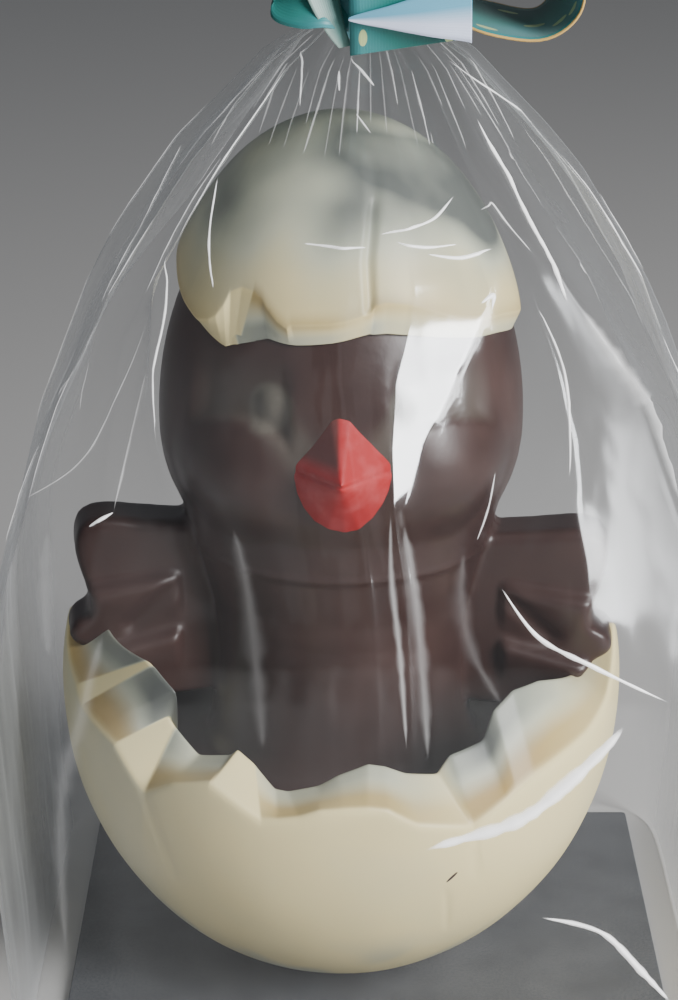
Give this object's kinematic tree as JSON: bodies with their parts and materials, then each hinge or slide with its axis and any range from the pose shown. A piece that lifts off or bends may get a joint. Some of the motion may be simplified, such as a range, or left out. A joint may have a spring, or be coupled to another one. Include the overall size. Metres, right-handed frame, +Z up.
{
  "type": "bagged chocolate chick",
  "caption": "Moulded chocolate chick hatching from a white chocolate egg, on a square card in a clear bag tied with a ribbon bow.",
  "frame": {"origin": "middle of the base card's underside, which is the bottom centre of the box", "axes": "+Z up, -Y the way the chick faces, +X to the right seen from its front"},
  "size_m": [0.144, 0.144, 0.256],
  "materials": {
    "card": "dark grey, matt",
    "white_chocolate": "cream, moulded, satin",
    "dark_chocolate": "dark brown, moulded, semi-gloss",
    "red_chocolate": "red, moulded, semi-gloss",
    "film": "clear, glossy, creased",
    "ribbon": "teal satin with a small leaf print and a thin gold edge"
  },
  "bodies": {
    "root": {"base_card": "card", "egg_shell": "white_chocolate", "chick_body": "dark_chocolate", "egg_cap": "white_chocolate", "beak": "red_chocolate", "film_bag": "film", "ribbon": "ribbon"}
  },
  "joints": []
}
